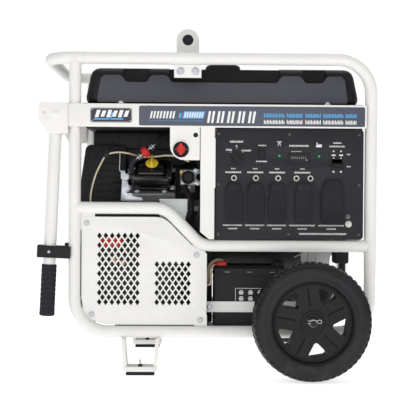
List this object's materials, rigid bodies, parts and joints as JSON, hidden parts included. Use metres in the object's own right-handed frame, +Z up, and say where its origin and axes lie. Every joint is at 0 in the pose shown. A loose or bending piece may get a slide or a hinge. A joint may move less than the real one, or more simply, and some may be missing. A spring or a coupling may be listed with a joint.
{
  "type": "portable generator",
  "caption": "Open-frame portable engine generator with a tube frame, top tank, V-twin engine, alternator, socket panel, battery, wheels on one axle and folding pull handles.",
  "frame": {"origin": "on the floor, under the middle of the object's outline", "axes": "+Z up; -Y is the front, with the control panel; +X towards the wheels' end, -X towards the folding handles"},
  "size_m": [0.9046, 0.805, 0.9605],
  "materials": {
    "frame_white": "off-white powder coat on steel, semi-gloss",
    "black_plastic": "black moulded plastic, fine grain",
    "panel_grey": "charcoal textured paint on sheet steel",
    "black_rubber": "matte moulded rubber",
    "tyre_rubber": "matte black tyre rubber",
    "tank_grey": "dark grey moulded tank, low gloss",
    "engine_alloy": "cast aluminium, as cast",
    "bright_steel": "zinc plated steel",
    "exhaust_steel": "heat-proof black paint on steel",
    "red_plastic": "red moulded plastic",
    "yellow_plastic": "yellow moulded plastic",
    "cream_sleeve": "cream cable sleeve"
  },
  "bodies": {
    "frame": {"front_side_hoop": "frame_white", "rear_side_hoop": "frame_white", "end_handle_loop": "frame_white", "front_mid_rail": "frame_white", "rear_mid_rail": "frame_white", "engine_cradle": "frame_white", "front_fascia": "frame_white", "rear_fascia": "frame_white", "heat_shield": "frame_white", "foot_bracket_front": "frame_white", "foot_bracket_rear": "frame_white", "lifting_crossbar": "frame_white", "battery_strap": "frame_white", "handle_bracket_front": "frame_white", "handle_bracket_rear": "frame_white", "front_rocker_cover": "black_plastic", "rear_rocker_cover": "black_plastic", "blower_shroud": "black_plastic", "air_cleaner": "black_plastic", "battery_case": "black_plastic", "control_panel": "panel_grey", "panel_box": "panel_grey", "foot_pad_front": "black_rubber", "foot_pad_rear": "black_rubber", "fuel_tank": "tank_grey", "crankcase": "engine_alloy", "front_cylinder": "engine_alloy", "rear_cylinder": "engine_alloy", "alternator_housing": "engine_alloy", "wheel_axle": "bright_steel", "muffler": "exhaust_steel", "battery_cable": "red_plastic", "ignition_lead": "cream_sleeve"},
    "wheel_front": {"wheel_tyre_front": "tyre_rubber", "wheel_rim_front": "black_plastic"},
    "wheel_rear": {"wheel_tyre_rear": "tyre_rubber", "wheel_rim_rear": "black_plastic"},
    "handle_front": {"handle_tube_front": "frame_white", "handle_grip_front": "black_rubber", "handle_clip_front": "black_plastic"},
    "handle_rear": {"handle_tube_rear": "frame_white", "handle_grip_rear": "black_rubber", "handle_clip_rear": "black_plastic"},
    "crankshaft": {"crankshaft": "bright_steel"},
    "fuel_cap": {"filler_cap": "black_plastic"},
    "oil_cap": {"dipstick": "yellow_plastic"},
    "fuel_selector": {"fuel_selector_knob": "red_plastic"},
    "engine_switch": {"engine_switch_knob": "black_plastic"},
    "mode_switch": {"mode_rocker": "black_plastic"},
    "main_breaker": {"main_breaker_toggle": "black_plastic"},
    "breaker_1": {"breaker_button_1": "black_plastic"},
    "cover_1": {"outlet_cover_1": "black_rubber"},
    "breaker_2": {"breaker_button_2": "black_plastic"},
    "cover_2": {"outlet_cover_2": "black_rubber"},
    "breaker_3": {"breaker_button_3": "black_plastic"},
    "cover_3": {"outlet_cover_3": "black_rubber"},
    "breaker_4": {"breaker_button_4": "black_plastic"},
    "cover_4": {"outlet_cover_4": "black_rubber"},
    "breaker_5": {"breaker_button_5": "black_plastic"},
    "cover_5": {"outlet_cover_5": "black_rubber"}
  },
  "joints": [
    {"name": "wheel_front_spin", "type": "hinge", "parent": "frame", "child": "wheel_front", "pos_m": [0.2683, -0.355, 0.155], "axis": [0, 1, 0], "continuous": true},
    {"name": "wheel_rear_spin", "type": "hinge", "parent": "frame", "child": "wheel_rear", "pos_m": [0.2683, 0.355, 0.155], "axis": [0, 1, 0], "continuous": true},
    {"name": "handle_front_fold", "type": "hinge", "parent": "frame", "child": "handle_front", "pos_m": [-0.4037, -0.25, 0.693], "axis": [0, 1, 0], "range_deg": [0, 90]},
    {"name": "handle_rear_fold", "type": "hinge", "parent": "frame", "child": "handle_rear", "pos_m": [-0.4037, 0.25, 0.693], "axis": [0, 1, 0], "range_deg": [0, 90]},
    {"name": "crankshaft_spin", "type": "hinge", "parent": "frame", "child": "crankshaft", "pos_m": [0, 0, 0.385], "axis": [1, 0, 0], "continuous": true},
    {"name": "fuel_cap_turn", "type": "hinge", "parent": "frame", "child": "fuel_cap", "pos_m": [0.047, 0, 0.8224], "axis": [0, 0, 1], "range_deg": [0, 90]},
    {"name": "oil_cap_turn", "type": "hinge", "parent": "frame", "child": "oil_cap", "pos_m": [-0.152, -0.16965, 0.56332], "axis": [0, -0.7431, 0.6691], "range_deg": [0, 90]},
    {"name": "fuel_selector_turn", "type": "hinge", "parent": "frame", "child": "fuel_selector", "pos_m": [-0.0718, -0.2755, 0.6], "axis": [0, 1, 0], "range_deg": [-90, 90]},
    {"name": "engine_switch_turn", "type": "hinge", "parent": "frame", "child": "engine_switch", "pos_m": [0.0772, -0.2625, 0.576], "axis": [0, 1, 0], "range_deg": [0, 90]},
    {"name": "mode_switch_tilt", "type": "hinge", "parent": "frame", "child": "mode_switch", "pos_m": [0.1436, -0.2575, 0.59], "axis": [-1, 0, 0], "range_deg": [0, 16]},
    {"name": "main_breaker_flip", "type": "hinge", "parent": "frame", "child": "main_breaker", "pos_m": [0.3441, -0.252, 0.5675], "axis": [-1, 0, 0], "range_deg": [0, 40]},
    {"name": "breaker_1_press", "type": "slide", "parent": "frame", "child": "breaker_1", "axis": [0, 1, 0], "range_m": [0, 0.003], "stiffness_N_per_m": 500, "springref_m": -0.002},
    {"name": "breaker_2_press", "type": "slide", "parent": "frame", "child": "breaker_2", "axis": [0, 1, 0], "range_m": [0, 0.003], "stiffness_N_per_m": 500, "springref_m": -0.002},
    {"name": "breaker_3_press", "type": "slide", "parent": "frame", "child": "breaker_3", "axis": [0, 1, 0], "range_m": [0, 0.003], "stiffness_N_per_m": 500, "springref_m": -0.002},
    {"name": "breaker_4_press", "type": "slide", "parent": "frame", "child": "breaker_4", "axis": [0, 1, 0], "range_m": [0, 0.003], "stiffness_N_per_m": 500, "springref_m": -0.002},
    {"name": "breaker_5_press", "type": "slide", "parent": "frame", "child": "breaker_5", "axis": [0, 1, 0], "range_m": [0, 0.003], "stiffness_N_per_m": 500, "springref_m": -0.002},
    {"name": "cover_1_lift", "type": "hinge", "parent": "frame", "child": "cover_1", "pos_m": [0.0697, -0.266, 0.512], "axis": [-1, 0, 0], "range_deg": [0, 95]},
    {"name": "cover_2_lift", "type": "hinge", "parent": "frame", "child": "cover_2", "pos_m": [0.1271, -0.266, 0.512], "axis": [-1, 0, 0], "range_deg": [0, 95]},
    {"name": "cover_3_lift", "type": "hinge", "parent": "frame", "child": "cover_3", "pos_m": [0.1848, -0.266, 0.512], "axis": [-1, 0, 0], "range_deg": [0, 95]},
    {"name": "cover_4_lift", "type": "hinge", "parent": "frame", "child": "cover_4", "pos_m": [0.255, -0.266, 0.512], "axis": [-1, 0, 0], "range_deg": [0, 95]},
    {"name": "cover_5_lift", "type": "hinge", "parent": "frame", "child": "cover_5", "pos_m": [0.3335, -0.266, 0.521], "axis": [-1, 0, 0], "range_deg": [0, 95]}
  ]
}
